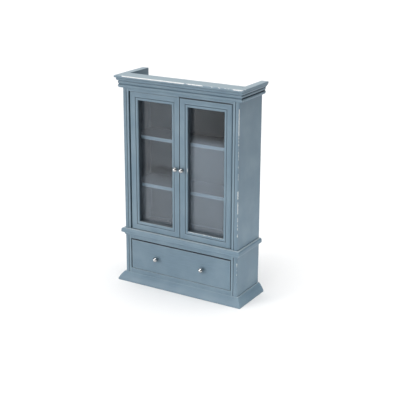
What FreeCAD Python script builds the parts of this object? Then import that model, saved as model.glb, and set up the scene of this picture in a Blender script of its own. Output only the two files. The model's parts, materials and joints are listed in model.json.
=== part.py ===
import FreeCAD, Part
import math
import os
import Sketcher

# A 1:12 scale glazed cupboard over one drawer, for a dolls' house.
# Millimetres.  X runs left to right seen from the front, Y from front to back, Z up.
# The origin is the middle of the footprint, on the surface that the cupboard stands on.

SIZES = {
    "overall_width": 100.0,
    "overall_depth": 35.0,
    "overall_height": 150.0,
    # How far the cornice and the plinth stand out from the plain case.
    "side_overhang": 4.5,
    "front_overhang": 3.65,
    # Boards of the case.
    "side_thickness": 2.9,
    "corner_radius": 0.9,
    "back_thickness": 2.0,
    "frame_depth": 4.5,
    "stile_width": 1.8,
    "groove_depth": 0.45,
    "case_height": 141.2,
    "top_board_thickness": 1.9,
    "deck_top": 39.75,
    "deck_thickness": 2.0,
    "waist_rail_bottom": 32.5,
    "bay_floor_top": 9.8,
    # Shelves.
    "shelf_thickness": 2.3,
    "lower_shelf_top": 73.2,
    "upper_shelf_top": 107.7,
    "shelf_setback": 5.95,
    # Cornice: widths of its rails seen from above, then how far in its slab and reeds lie.
    "cornice_front_width": 12.0,
    "cornice_side_width": 5.2,
    "cornice_edge_radius": 0.5,
    "cornice_slab": 1.6,
    "cornice_reed": 2.25,
    "cornice_first_root": 1.35,
    "cornice_first_reed": 1.0,
    "cornice_second_root": 2.35,
    "cornice_second_reed": 1.95,
    "cornice_third_root": 2.6,
    "cornice_third_reed": 1.88,
    "cornice_foot": 3.3,
    # Waist moulding between the cupboard and the drawer.
    "waist_side_projection": 2.25,
    "waist_front_projection": 1.9,
    "waist_shoulder": 1.4,
    "waist_face": 1.8,
    "waist_cove": 2.0,
    # Plinth moulding.
    "plinth_height": 6.3,
    "plinth_toe": 1.0,
    "plinth_curve": 3.6,
    # Doors.
    "door_recess": 0.5,
    "door_thickness": 4.8,
    "door_bottom_gap": 0.4,
    "door_top_gap_left": 0.25,
    "door_top_gap_right": 0.5,
    "door_edge_gap": 0.6,
    "door_meeting_gap": 0.5,
    "hinge_stile_left": 4.7,
    "hinge_stile_right": 4.1,
    "meeting_stile": 4.1,
    "door_top_rail": 3.7,
    "door_bottom_rail": 3.95,
    "hinge_front_radius": 1.0,
    "hinge_back_radius": 1.9,
    "stop_width": 1.9,
    "stop_setback": 0.1,
    "stop_radius": 0.8,
    "pane_thickness": 0.8,
    "pane_clearance": 0.05,
    # Hinge pins, one at the top and one at the bottom of each door.
    "pin_radius": 0.5,
    "pin_clearance": 0.05,
    "pin_in_case": 1.5,
    "pin_in_door": 2.4,
    "pin_end_gap": 0.1,
    "pin_from_edge": 2.2,
    "pin_from_face": 2.0,
    # Drawer.
    "drawer_recess": 0.3,
    "drawer_front_thickness": 3.0,
    "drawer_bottom_gap": 0.2,
    "drawer_top_gap": 0.7,
    "drawer_side_gap": 0.6,
    "drawer_board": 1.8,
    "drawer_side_height": 18.5,
    "drawer_box_depth": 24.0,
    # Ball knobs of the doors and the drawer.
    "knob_radius": 1.75,
    "knob_neck_radius": 0.6,
    "knob_neck_length": 0.35,
    "knob_shank_radius": 0.4,
    "knob_shank_length": 1.8,
    "knob_hole_clearance": 0.02,
    "door_knob_height": 89.6,
    "door_knob_from_edge": 2.15,
    "drawer_knob_height": 20.7,
    "drawer_knob_half_spread": 18.6,
    "drawer_knob_shift": 0.5,
}

doc = FreeCAD.newDocument("MiniatureCupboard")
sheet = doc.addObject("Spreadsheet::Sheet", "Sizes")
for row, (alias, value) in enumerate(SIZES.items(), start=1):
    sheet.set(f"A{row}", alias)
    sheet.set(f"B{row}", str(value))
    sheet.setAlias(f"B{row}", alias)
doc.recompute()


class Size:
    """A length with the sheet formula that it comes from, so that arithmetic keeps both."""

    def __init__(self, formula, value):
        self.formula = formula
        self.value = value

    def __add__(self, other):
        other = as_size(other)
        return Size(f"({self.formula} + {other.formula})", self.value + other.value)

    def __sub__(self, other):
        other = as_size(other)
        return Size(f"({self.formula} - {other.formula})", self.value - other.value)

    def __mul__(self, other):
        other = as_size(other)
        return Size(f"({self.formula} * {other.formula})", self.value * other.value)

    def __truediv__(self, other):
        other = as_size(other)
        return Size(f"({self.formula} / {other.formula})", self.value / other.value)

    def __neg__(self):
        return self * -1

    def root(self):
        return Size(f"sqrt({self.formula})", math.sqrt(self.value))


def as_size(item):
    return item if isinstance(item, Size) else Size(f"({item})", float(item))


S = {alias: Size(f"Sizes.{alias}", value) for alias, value in SIZES.items()}

# ---------------------------------------------------------------- places worked out from the sizes

HALF_WIDTH = S["overall_width"] / 2
BACK = S["overall_depth"] / 2
FRONT = -BACK
FLOOR = as_size(0)
CASE_TOP = S["case_height"]
CASE_HALF = HALF_WIDTH - S["side_overhang"]
CASE_FRONT = FRONT + S["front_overhang"]
SIDE_INNER = CASE_HALF - S["side_thickness"]
OPENING_HALF = SIDE_INNER - S["stile_width"]
FRAME_BACK = CASE_FRONT + S["frame_depth"]
BACK_FACE = BACK - S["back_thickness"]
CEILING = CASE_TOP - S["top_board_thickness"]
DECK = S["deck_top"]
BAY_FLOOR = S["bay_floor_top"]
SHELF_FRONT = CASE_FRONT + S["shelf_setback"]

DOOR_FRONT = CASE_FRONT + S["door_recess"]
DOOR_BACK = DOOR_FRONT + S["door_thickness"]
DOOR_OUTER = OPENING_HALF - S["door_edge_gap"]
DOOR_INNER = S["door_meeting_gap"] / 2
DOOR_BOTTOM = DECK + S["door_bottom_gap"]
MEETING_GROOVE = DOOR_INNER + S["meeting_stile"]
LOWER_GROOVE = DOOR_BOTTOM + S["door_bottom_rail"]
PANE_FRONT = DOOR_BACK - S["pane_thickness"]
STOP_DEPTH = PANE_FRONT - DOOR_FRONT - S["stop_setback"]
PIN_X = DOOR_OUTER - S["pin_from_edge"]
PIN_Y = DOOR_FRONT + S["pin_from_face"]
DOOR_KNOB_X = DOOR_INNER + S["door_knob_from_edge"]

DRAWER_HALF = OPENING_HALF - S["drawer_side_gap"]
DRAWER_FRONT = CASE_FRONT + S["drawer_recess"]
DRAWER_BOX_FRONT = DRAWER_FRONT + S["drawer_front_thickness"]
DRAWER_BACK = DRAWER_BOX_FRONT + S["drawer_box_depth"]
DRAWER_BOTTOM = BAY_FLOOR + S["drawer_bottom_gap"]
DRAWER_TOP = S["waist_rail_bottom"] - S["drawer_top_gap"]
DRAWER_SIDE_TOP = DRAWER_BOTTOM + S["drawer_side_height"]

SIDES = (("left", -1), ("right", 1))

# The drawer's knobs sit a little to the left of its middle.
DRAWER_KNOB_X = {side: S["drawer_knob_half_spread"] * sign - S["drawer_knob_shift"]
                 for side, sign in SIDES}

parts = []      # every sub-part, in the order it is made


def keep(item, label):
    """Name a finished sub-part and put it on the list that is written out."""
    item.Label = label
    parts.append(item)
    return item


def bind(item, name, size):
    item.setExpression(name, as_size(size).formula)


def place(item, x=0, y=0, z=0):
    """Bind an object's position to the sheet."""
    for axis, size in zip("xyz", (x, y, z)):
        bind(item, f"Placement.Base.{axis}", size)


# ---------------------------------------------------------------- solids from primitives

def block(label, x, y, z):
    """A rectangular block between two sizes on each axis."""
    item = doc.addObject("Part::Box", label)
    for side, (low, high) in zip(("Length", "Width", "Height"), (x, y, z)):
        bind(item, side, high - low)
    place(item, x[0], y[0], z[0])
    return item


def board(label, x, y, z):
    """A plain rectangular board that is a sub-part of its own."""
    return keep(block(label, x, y, z), label)


def rod(label, radius, length, x, y, z):
    """A round pin or hole that rises from a point."""
    item = doc.addObject("Part::Cylinder", label)
    bind(item, "Radius", radius)
    bind(item, "Height", length)
    place(item, x, y, z)
    return item


def knob_hole(label, face, x, z):
    """The hole for a knob's shank, from a front face backwards."""
    radius = S["knob_shank_radius"] + S["knob_hole_clearance"]
    item = rod(label, radius, S["knob_shank_length"] + S["knob_hole_clearance"], x, face, z)
    item.Placement.Rotation = FreeCAD.Rotation(FreeCAD.Vector(1, 0, 0), -90)
    return item


def drilled(label, base, holes):
    """A sub-part made by taking round holes out of a base."""
    tool = holes[0]
    if len(holes) > 1:
        tool = doc.addObject("Part::MultiFuse", label + "_holes")
        tool.Shapes = holes
    item = doc.addObject("Part::Cut", label)
    item.Base = base
    item.Tool = tool
    return keep(item, label)


# ---------------------------------------------------------------- solids from sketches

def sketch_on(body, role, name):
    """A sketch on one of a body's own origin planes."""
    sketch = body.newObject("Sketcher::SketchObject", name)
    plane = next(item for item in body.Origin.OriginFeatures if item.Role == role)
    sketch.AttachmentSupport = [(plane, "")]
    sketch.MapMode = "FlatFace"
    return sketch


def hold(sketch, geometry, corner, x, y):
    """Hold one point of a sketch at two sizes from the sketch's origin."""
    for kind, size in (("DistanceX", x), ("DistanceY", y)):
        size = as_size(size)
        index = sketch.addConstraint(
            Sketcher.Constraint(kind, -1, 1, geometry, corner, size.value))
        sketch.setExpression(f"Constraints[{index}]", size.formula)


def outline(sketch, points):
    """Draw a closed outline through points (x, y).

    Where a point is (x, y, mid x, mid y), the edge that leaves it is an arc through the mid
    point."""
    corners = [FreeCAD.Vector(as_size(p[0]).value, as_size(p[1]).value, 0) for p in points]
    edges = []
    for index, point in enumerate(points):
        start = corners[index]
        end = corners[(index + 1) % len(corners)]
        if len(point) == 2:
            edges.append(sketch.addGeometry(Part.LineSegment(start, end), False))
            continue
        middle = FreeCAD.Vector(as_size(point[2]).value, as_size(point[3]).value, 0)
        edges.append(sketch.addGeometry(Part.Arc(start, middle, end), False))
        on_arc = sketch.addGeometry(Part.Point(middle), True)
        hold(sketch, on_arc, 1, point[2], point[3])
        sketch.addConstraint(Sketcher.Constraint("PointOnObject", on_arc, 1, edges[-1]))
    for index, point in enumerate(points):
        tail = end_at(sketch, edges[index], corners[index])
        before = end_at(sketch, edges[index - 1], corners[index])
        sketch.addConstraint(
            Sketcher.Constraint("Coincident", edges[index - 1], before, edges[index], tail))
        hold(sketch, edges[index], tail, point[0], point[1])


def end_at(sketch, edge, corner):
    """Which end of a sketch edge is at a corner: 1 for its first point, 2 for its last."""
    return 1 if (sketch.getPoint(edge, 1) - corner).Length < 1e-6 else 2


def extrude(body, sketch, length, symmetric=False):
    pad = body.newObject("PartDesign::Pad", sketch.Name + "_pad")
    pad.Profile = sketch
    bind(pad, "Length", length)
    if symmetric:
        pad.SideType = "Symmetric"
    doc.recompute()
    return pad


def trim(body, sketch):
    """Cut a sketch right through a body both ways, and make sure that it removes material."""
    before = body.Shape.Volume
    pocket = body.newObject("PartDesign::Pocket", sketch.Name + "_cut")
    pocket.Profile = sketch
    pocket.SideType = "Symmetric"
    bind(pocket, "Length", S["overall_height"] * 3)
    doc.recompute()
    if body.Shape.Volume > before - 1e-3:
        raise RuntimeError(f"{sketch.Name} cut nothing")
    return pocket


def ease(body, kind, size, centre):
    """Round or bevel the edge of a body's tip whose middle is at a point of the body's frame."""
    target = FreeCAD.Vector(*[as_size(part).value for part in centre])
    base = body.Tip
    names = [f"Edge{index}" for index, edge in enumerate(base.Shape.Edges, start=1)
             if (edge.CenterOfMass - target).Length < 1e-3]
    if len(names) != 1:
        raise RuntimeError(f"{body.Label}: {len(names)} edges at {target}")
    feature = body.newObject("PartDesign::" + kind, f"{body.Name}_{kind}_{len(body.Group)}")
    feature.Base = (base, names)
    bind(feature, "Radius" if kind == "Fillet" else "Size", size)
    doc.recompute()


def upright(label, x, y, z, easings):
    """A vertical board with some upright edges eased: (kind, size, edge's x, edge's y) each."""
    body = doc.addObject("PartDesign::Body", label)
    plan = sketch_on(body, "XY_Plane", label + "_plan")
    outline(plan, [(x[0], y[0]), (x[1], y[0]), (x[1], y[1]), (x[0], y[1])])
    place(body, z=z[0])
    extrude(body, plan, z[1] - z[0])
    for kind, size, edge_x, edge_y in easings:
        ease(body, kind, size, (edge_x, edge_y, (z[1] - z[0]) / 2))
    return body


# ---------------------------------------------------------------- the case

INSIDE = (-SIDE_INNER, SIDE_INNER)
SPAN = (-OPENING_HALF, OPENING_HALF)
FRAME = (CASE_FRONT, FRAME_BACK)
BEHIND_FRAME = (FRAME_BACK, BACK_FACE)


def case_sides():
    """Side boards with a rounded front corner, and the face stiles beside the doors.

    The bevels of the two boards meet in a V groove."""
    for side, sign in SIDES:
        outer = CASE_HALF * sign
        inner = SIDE_INNER * sign
        panel = upright(f"side_panel_{side}", (outer, inner), (CASE_FRONT, BACK),
                        (FLOOR, CASE_TOP),
                        [("Fillet", S["corner_radius"], outer, CASE_FRONT),
                         ("Chamfer", S["groove_depth"], inner, CASE_FRONT)])
        keep(panel, f"side_panel_{side}")
        stile = upright(f"face_stile_{side}", (inner, OPENING_HALF * sign), FRAME,
                        (FLOOR, CASE_TOP),
                        [("Chamfer", S["groove_depth"], inner, CASE_FRONT)])
        keep(stile, f"face_stile_{side}")


def case_boards():
    board("back_panel", INSIDE, (BACK_FACE, BACK), (FLOOR, CASE_TOP))
    board("top_board", INSIDE, BEHIND_FRAME, (CEILING, CASE_TOP))
    board("cupboard_floor", INSIDE, BEHIND_FRAME, (DECK - S["deck_thickness"], DECK))
    board("drawer_bay_floor", INSIDE, BEHIND_FRAME, (BAY_FLOOR - S["deck_thickness"], BAY_FLOOR))
    board("face_rail_bottom", SPAN, FRAME, (FLOOR, BAY_FLOOR))
    for name in ("lower", "upper"):
        top = S[f"{name}_shelf_top"]
        board(f"shelf_{name}", INSIDE, (SHELF_FRONT, BACK_FACE), (top - S["shelf_thickness"], top))


def pin_holes(name, z):
    return [rod(f"{name}_{side}", S["pin_radius"], S["pin_in_case"], PIN_X * sign, PIN_Y, z)
            for side, sign in SIDES]


def pin_rails():
    """The face rails above and below the doors, with a blind hole for each hinge pin."""
    top = block("face_rail_top_blank", SPAN, FRAME, (CEILING, CASE_TOP))
    drilled("face_rail_top", top, pin_holes("top_pin_hole", CEILING))
    waist = block("face_rail_waist_blank", SPAN, FRAME, (S["waist_rail_bottom"], DECK))
    drilled("face_rail_waist", waist, pin_holes("bottom_pin_hole", DECK - S["pin_in_case"]))


def door_top(side):
    return CEILING - S[f"door_top_gap_{side}"]


def hinge_pins():
    for side, sign in SIDES:
        spans = {
            "bottom": (DECK - S["pin_in_case"], DOOR_BOTTOM + S["pin_in_door"]),
            "top": (door_top(side) - S["pin_in_door"], CEILING + S["pin_in_case"]),
        }
        for end, (low, high) in spans.items():
            label = f"hinge_pin_{side}_{end}"
            keep(rod(label, S["pin_radius"], high - low, PIN_X * sign, PIN_Y, low), label)


# ---------------------------------------------------------------- mouldings

ARC_SHARE = 1 - math.sqrt(0.5)      # how far the middle of a quarter round lies in from its corner


def drawn(section, across):
    """The corners of a moulding's section, with each inset turned into a place across."""
    return [tuple(across(size) if turn % 2 == 0 else size for turn, size in enumerate(point))
            for point in section]


def moulding(name, section, outer, front, inner, rear):
    """Mouldings across the front and down both sides, mitred together at the front corners.

    section(reach) lists points (inset, height) of a section that goes in by reach from its outer
    face.  The sides reach in to x = inner, and the front reaches back to y = rear."""
    mitre = front + (outer - inner)
    label = f"{name}_front"
    body = doc.addObject("PartDesign::Body", label)
    profile = sketch_on(body, "YZ_Plane", label + "_section")
    outline(profile, drawn(section(BACK), lambda inset: front + inset))
    extrude(body, profile, outer * 2, symmetric=True)
    waste = sketch_on(body, "XY_Plane", label + "_mitres")
    outline(waste, [(-outer, front), (-inner, mitre), (-inner, rear), (inner, rear),
                    (inner, mitre), (outer, front), (outer, BACK), (-outer, BACK)])
    trim(body, waste)
    keep(body, label)

    for side, sign in SIDES:
        label = f"{name}_{side}"
        body = doc.addObject("PartDesign::Body", label)
        profile = sketch_on(body, "XZ_Plane", label + "_section")
        outline(profile, drawn(section(outer - inner), lambda inset: (outer - inset) * sign))
        extrude(body, profile, BACK * 2, symmetric=True)
        waste = sketch_on(body, "XY_Plane", label + "_mitre")
        outline(waste, [(outer * sign, front), (inner * sign, mitre),
                        (inner * sign, FRONT * 2), (outer * sign, FRONT * 2)])
        trim(body, waste)
        keep(body, label)


def cornice_section(reach):
    """A square slab over three reeds that step inwards, the last one running down to the case."""
    top = S["overall_height"]
    edge = S["cornice_edge_radius"]
    slab = top - S["cornice_slab"]
    points = [
        (reach, top),
        (edge, top, edge * ARC_SHARE, top - edge * ARC_SHARE),
        (as_size(0), top - edge),
        (as_size(0), slab),
    ]
    high = slab
    for name in ("first", "second", "third"):
        low = CASE_TOP if name == "third" else high - S["cornice_reed"]
        points.append((S[f"cornice_{name}_root"], high,
                       S[f"cornice_{name}_reed"], (high + low) / 2))
        high = low
    return points + [(S["cornice_foot"], CASE_TOP), (reach, CASE_TOP)]


def waist_section(reach):
    """A rounded shoulder, a narrow flat face, and a cove that runs back to the case."""
    shoulder = S["waist_shoulder"]
    face_top = DECK - shoulder
    face_bottom = face_top - S["waist_face"]
    cove = S["waist_cove"]
    bottom = face_bottom - cove
    return [
        (reach, DECK),
        (shoulder, DECK, shoulder * ARC_SHARE, DECK - shoulder * ARC_SHARE),
        (as_size(0), face_top),
        (as_size(0), face_bottom, cove * (1 - ARC_SHARE), face_bottom - cove * ARC_SHARE),
        (cove, bottom),
        (reach, bottom),
    ]


def plinth_section(reach):
    """A slope that swells slightly from the case to an upright toe."""
    top = S["plinth_height"]
    toe = S["plinth_toe"]
    curve = S["plinth_curve"]
    return [
        (reach, top),
        (curve, top, curve * 3 / 7, toe + (top - toe) * 8 / 15),
        (as_size(0), toe),
        (as_size(0), FLOOR),
        (reach, FLOOR),
    ]


def mouldings():
    moulding("cornice", cornice_section, HALF_WIDTH, FRONT,
             HALF_WIDTH - S["cornice_side_width"], FRONT + S["cornice_front_width"])
    moulding("waist_moulding", waist_section, CASE_HALF + S["waist_side_projection"],
             CASE_FRONT - S["waist_front_projection"], CASE_HALF, CASE_FRONT)
    moulding("plinth", plinth_section, HALF_WIDTH, FRONT, CASE_HALF, CASE_FRONT)


# ---------------------------------------------------------------- doors

def stop_strip(label, corners, outer_middle, inner_middle):
    """One mitred strip of the moulded stop that the pane bears on.

    corners are the strip's outline seen from the front; the middles are those of its outer and
    inner edges."""
    body = doc.addObject("PartDesign::Body", label)
    face = sketch_on(body, "XZ_Plane", label + "_face")
    outline(face, corners)
    place(body, y=PANE_FRONT)
    extrude(body, face, STOP_DEPTH)
    ease(body, "Chamfer", S["groove_depth"], (outer_middle[0], -STOP_DEPTH, outer_middle[1]))
    ease(body, "Fillet", S["stop_radius"], (inner_middle[0], -STOP_DEPTH, inner_middle[1]))
    keep(body, label)


def door_stops(side, left, right, low, high):
    """Four stop strips inside the frame opening from left to right and low to high."""
    width = S["stop_width"]
    middle = (left + right) / 2
    centre = (low + high) / 2
    near_left = left + width
    near_right = right - width
    near_low = low + width
    near_high = high - width
    stop_strip(f"door_{side}_stop_bottom",
               [(left, low), (right, low), (near_right, near_low), (near_left, near_low)],
               (middle, low), (middle, near_low))
    stop_strip(f"door_{side}_stop_top",
               [(left, high), (near_left, near_high), (near_right, near_high), (right, high)],
               (middle, high), (middle, near_high))
    stop_strip(f"door_{side}_stop_left",
               [(left, low), (near_left, near_low), (near_left, near_high), (left, high)],
               (left, centre), (near_left, centre))
    stop_strip(f"door_{side}_stop_right",
               [(right, low), (right, high), (near_right, near_high), (near_right, near_low)],
               (right, centre), (near_right, centre))


def door(side, sign):
    """A glazed door: two stiles, two rails, moulded stops, a pane and a knob."""
    top = door_top(side)
    outer = DOOR_OUTER * sign
    groove = (DOOR_OUTER - S[f"hinge_stile_{side}"]) * sign
    meeting = MEETING_GROOVE * sign
    upper_groove = top - S["door_top_rail"]
    depth = (DOOR_FRONT, DOOR_BACK)
    height = (DOOR_BOTTOM, top)
    rail = (groove, meeting) if sign < 0 else (meeting, groove)

    hinge = upright(f"door_{side}_hinge_stile_blank", (outer, groove), depth, height,
                    [("Fillet", S["hinge_front_radius"], outer, DOOR_FRONT),
                     ("Fillet", S["hinge_back_radius"], outer, DOOR_BACK),
                     ("Chamfer", S["groove_depth"], groove, DOOR_FRONT)])
    hole = S["pin_in_door"] + S["pin_end_gap"]
    radius = S["pin_radius"] + S["pin_clearance"]
    drilled(f"door_{side}_hinge_stile", hinge,
            [rod(f"door_{side}_lower_pin_hole", radius, hole, PIN_X * sign, PIN_Y, DOOR_BOTTOM),
             rod(f"door_{side}_upper_pin_hole", radius, hole, PIN_X * sign, PIN_Y, top - hole)])

    stile = upright(f"door_{side}_meeting_stile_blank", (DOOR_INNER * sign, meeting), depth,
                    height, [("Chamfer", S["groove_depth"], meeting, DOOR_FRONT)])
    drilled(f"door_{side}_meeting_stile", stile,
            [knob_hole(f"door_{side}_knob_hole", DOOR_FRONT, DOOR_KNOB_X * sign,
                       S["door_knob_height"])])

    for name, low, high, edge in (("top", upper_groove, top, upper_groove),
                                  ("bottom", DOOR_BOTTOM, LOWER_GROOVE, LOWER_GROOVE)):
        body = doc.addObject("PartDesign::Body", f"door_{side}_rail_{name}")
        end = sketch_on(body, "YZ_Plane", f"door_{side}_rail_{name}_end")
        outline(end, [(DOOR_FRONT, low), (DOOR_BACK, low), (DOOR_BACK, high), (DOOR_FRONT, high)])
        place(body, x=rail[0])
        extrude(body, end, rail[1] - rail[0])
        ease(body, "Chamfer", S["groove_depth"], ((rail[1] - rail[0]) / 2, DOOR_FRONT, edge))
        keep(body, f"door_{side}_rail_{name}")

    door_stops(side, rail[0], rail[1], LOWER_GROOVE, upper_groove)
    gap = S["pane_clearance"]
    board(f"door_{side}_pane", (rail[0] + gap, rail[1] - gap), (PANE_FRONT, DOOR_BACK),
          (LOWER_GROOVE + gap, upper_groove - gap))
    knob(f"door_{side}_knob", DOOR_KNOB_X * sign, DOOR_FRONT, S["door_knob_height"])


# ---------------------------------------------------------------- knobs and drawer

def knob(label, x, y, z):
    """A turned ball knob on a short neck, with a shank that goes into the wood."""
    ball = S["knob_radius"]
    neck = S["knob_neck_radius"]
    shank = S["knob_shank_radius"]
    centre = -(S["knob_neck_length"] + (ball * ball - neck * neck).root())
    body = doc.addObject("PartDesign::Body", label)
    half = sketch_on(body, "XY_Plane", label + "_half")
    outline(half, [
        (as_size(0), S["knob_shank_length"]),
        (as_size(0), centre - ball, ball * math.sqrt(0.5), centre - ball * math.sqrt(0.5)),
        (ball, centre, ball * math.cos(math.pi / 6), centre + ball * math.sin(math.pi / 6)),
        (neck, -S["knob_neck_length"]),
        (neck, as_size(0)),
        (shank, as_size(0)),
        (shank, S["knob_shank_length"]),
    ])
    turned = body.newObject("PartDesign::Revolution", label + "_turned")
    turned.Profile = half
    turned.ReferenceAxis = (half, ["V_Axis"])
    turned.Angle = 360
    place(body, x, y, z)
    doc.recompute()
    keep(body, label)


def drawer():
    """An open box behind a plain front with two knobs."""
    width = (-DRAWER_HALF, DRAWER_HALF)
    inner = DRAWER_HALF - S["drawer_board"]
    inside = (-inner, inner)
    box_depth = (DRAWER_BOX_FRONT, DRAWER_BACK)
    sides = (DRAWER_BOTTOM, DRAWER_SIDE_TOP)
    base_top = DRAWER_BOTTOM + S["drawer_board"]
    front = block("drawer_front_blank", width, (DRAWER_FRONT, DRAWER_BOX_FRONT),
                  (DRAWER_BOTTOM, DRAWER_TOP))
    holes = [knob_hole(f"drawer_knob_hole_{side}", DRAWER_FRONT, DRAWER_KNOB_X[side],
                       S["drawer_knob_height"])
             for side, _ in SIDES]
    drilled("drawer_front", front, holes)
    board("drawer_side_left", (-DRAWER_HALF, -inner), box_depth, sides)
    board("drawer_side_right", (inner, DRAWER_HALF), box_depth, sides)
    board("drawer_back", inside, (DRAWER_BACK - S["drawer_board"], DRAWER_BACK), sides)
    board("drawer_base", inside, (DRAWER_BOX_FRONT, DRAWER_BACK - S["drawer_board"]),
          (DRAWER_BOTTOM, base_top))
    for side, _ in SIDES:
        knob(f"drawer_knob_{side}", DRAWER_KNOB_X[side], DRAWER_FRONT, S["drawer_knob_height"])


# ---------------------------------------------------------------- build, check and write

case_sides()
case_boards()
pin_rails()
hinge_pins()
mouldings()
for side, sign in SIDES:
    door(side, sign)
drawer()
doc.recompute()

for item in doc.Objects:
    if "Invalid" in item.State or "Error" in item.State:
        raise RuntimeError(f"{item.Label} did not build: {item.State}")
for item in parts:
    if item.Shape.isNull() or not item.Shape.isValid() or item.Shape.Volume <= 0:
        raise RuntimeError(f"{item.Label} is not a sound solid")

os.makedirs("parts", exist_ok=True)
for item in parts:
    item.Shape.exportStep(f"parts/{item.Label}.step")
print(f"{len(parts)} sub-parts written")
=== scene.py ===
"""The looks of a dolls' house cupboard: painted wood, clear panes and bright ball knobs.

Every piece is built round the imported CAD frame, at the place that its CAD node's box gives.
Metres.  X runs left to right seen from the front, Y from front to back, Z up."""

import json
import math

import bmesh
import bpy
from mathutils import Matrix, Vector, noise

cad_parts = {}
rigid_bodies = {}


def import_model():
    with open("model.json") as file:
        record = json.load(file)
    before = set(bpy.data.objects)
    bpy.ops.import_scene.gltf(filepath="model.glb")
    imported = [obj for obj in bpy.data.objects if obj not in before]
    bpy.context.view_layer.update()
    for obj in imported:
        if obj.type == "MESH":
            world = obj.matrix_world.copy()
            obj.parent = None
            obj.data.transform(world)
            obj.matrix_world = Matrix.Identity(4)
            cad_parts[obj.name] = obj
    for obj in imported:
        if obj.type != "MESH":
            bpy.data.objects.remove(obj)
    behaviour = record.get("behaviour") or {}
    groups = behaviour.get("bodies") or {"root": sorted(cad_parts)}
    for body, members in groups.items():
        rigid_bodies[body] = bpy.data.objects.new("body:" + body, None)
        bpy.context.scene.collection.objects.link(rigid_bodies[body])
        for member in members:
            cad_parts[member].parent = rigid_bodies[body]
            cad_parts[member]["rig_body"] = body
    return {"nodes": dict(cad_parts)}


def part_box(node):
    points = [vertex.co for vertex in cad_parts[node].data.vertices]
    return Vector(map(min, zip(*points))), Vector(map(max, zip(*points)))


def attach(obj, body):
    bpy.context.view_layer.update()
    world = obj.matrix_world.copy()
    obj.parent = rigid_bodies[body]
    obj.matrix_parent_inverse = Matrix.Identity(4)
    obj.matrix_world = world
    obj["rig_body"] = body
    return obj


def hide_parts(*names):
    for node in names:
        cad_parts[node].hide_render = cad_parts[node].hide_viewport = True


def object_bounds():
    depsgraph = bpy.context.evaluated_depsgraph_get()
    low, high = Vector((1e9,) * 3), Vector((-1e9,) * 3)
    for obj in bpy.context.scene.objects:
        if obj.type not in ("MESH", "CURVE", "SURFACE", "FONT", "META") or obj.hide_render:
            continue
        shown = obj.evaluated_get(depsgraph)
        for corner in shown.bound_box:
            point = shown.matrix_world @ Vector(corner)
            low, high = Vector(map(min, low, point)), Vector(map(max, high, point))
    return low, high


noise.seed_set(1)           # otherwise noise_vector's offsets come from the clock
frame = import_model()
CAD_LOW, CAD_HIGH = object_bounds()

MM = 0.001
X, Y, Z = 0, 1, 2
SIDES = (("left", -1), ("right", 1))
ENDS_OF_DOOR = ("top", "bottom")

# The cupboard's inside, with its inner faces and without the shelves' front edges.
SLACK = 0.1 * MM
SHELF_EDGE = 0.4 * MM
CUPBOARD_LOW = (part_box("side_panel_left")[1].x - SLACK,
                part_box("shelf_upper")[0].y + SHELF_EDGE,
                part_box("cupboard_floor")[1].z - SLACK)
CUPBOARD_HIGH = (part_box("side_panel_right")[0].x + SLACK,
                 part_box("back_panel")[0].y + SLACK,
                 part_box("top_board")[0].z + SLACK)

# ---------------------------------------------------------------- sizes that no CAD box gives

SOFT = 0.16 * MM            # how much a painted edge is rounded
ROUND_STEPS = 4             # faces round a softened corner
BIG_ROUND = 0.6 * MM        # from this radius up, only the middle of the round is worn
BIG_ROUND_EDGE = 0.4        # and this much of an edge
SHARP_TURN = math.radians(25)
CREASE = math.radians(40)   # faces that meet at more than this are shaded apart
BAND = 0.55 * MM            # how far wear reaches from an edge
GRID = 3.0 * MM             # the longest face across a piece
STRIDE = 1.5 * MM           # and along it
WOBBLE = 0.05 * MM          # how far the hand-made wood strays from true
WOBBLE_WAVE = 14 * MM
NICK = 0.07 * MM            # how deep worn edges are rubbed away
NICK_WAVE = 1.3 * MM

CORNER = 0.9 * MM           # round front corner of the case
GROOVE = 0.45 * MM          # bevel on each side of a V groove
FRONT_EASE = 1.0 * MM       # hinge stile, front edge
BACK_EASE = 1.9 * MM        # hinge stile, back edge
DRAWER_EASE = 0.55 * MM     # drawer front, top edge
STOP_ROUND = 0.8 * MM       # inner edge of a glazing stop

CORNICE_EDGE = 0.5 * MM
CORNICE_SLAB = 1.6 * MM
CORNICE_REED = 2.25 * MM
CORNICE_REEDS = ((1.35 * MM, 1.0 * MM), (2.35 * MM, 1.95 * MM), (2.6 * MM, 1.88 * MM))
CORNICE_FOOT = 3.3 * MM
FRONT_REED_SHADE_AND_HIGHLIGHT = (0.25, 0.3)     # painted shade between the reeds (more on the sides than the front), and the worn line with a painted highlight on the last one
SIDE_REED_SHADE_AND_HIGHLIGHT = (1.0, 0.4)
CREST_BAND = 0.3 * MM       # half the height of the worn line and painted highlight along a reed
ROOT_BAND = 0.42 * MM       # how far painted shade spreads from the root between two reeds
WAIST_SHOULDER = 1.4 * MM
WAIST_FACE = 1.8 * MM
WAIST_COVE = 2.0 * MM
PLINTH_TOE = 1.0 * MM
PLINTH_CURVE = 3.6 * MM

KNOB_NECK = 0.35 * MM       # how long, and how thick
KNOB_NECK_RADIUS = 0.6 * MM
KNOB_FLARE = 0.72 * MM      # radius where the neck meets the wood
KNOB_FLARE_LENGTH = 0.2 * MM
KNOB_FLARE_RIM = 0.08 * MM
KNOB_SHANK = 0.4 * MM       # radius of the part in the wood
KNOB_SHANK_CHAMFER = 0.1 * MM
KNOB_STEPS = 18             # rings on a ball
CREVICE = 2.5 * MM          # how near a facing surface must be for painted shade to lie between
PIN_HOLE_EXTRA = 0.05 * MM
PIN_END_GAP = 0.1 * MM
BORE_STEPS = 24             # faces round a pin's hole


# ---------------------------------------------------------------- sections

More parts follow.
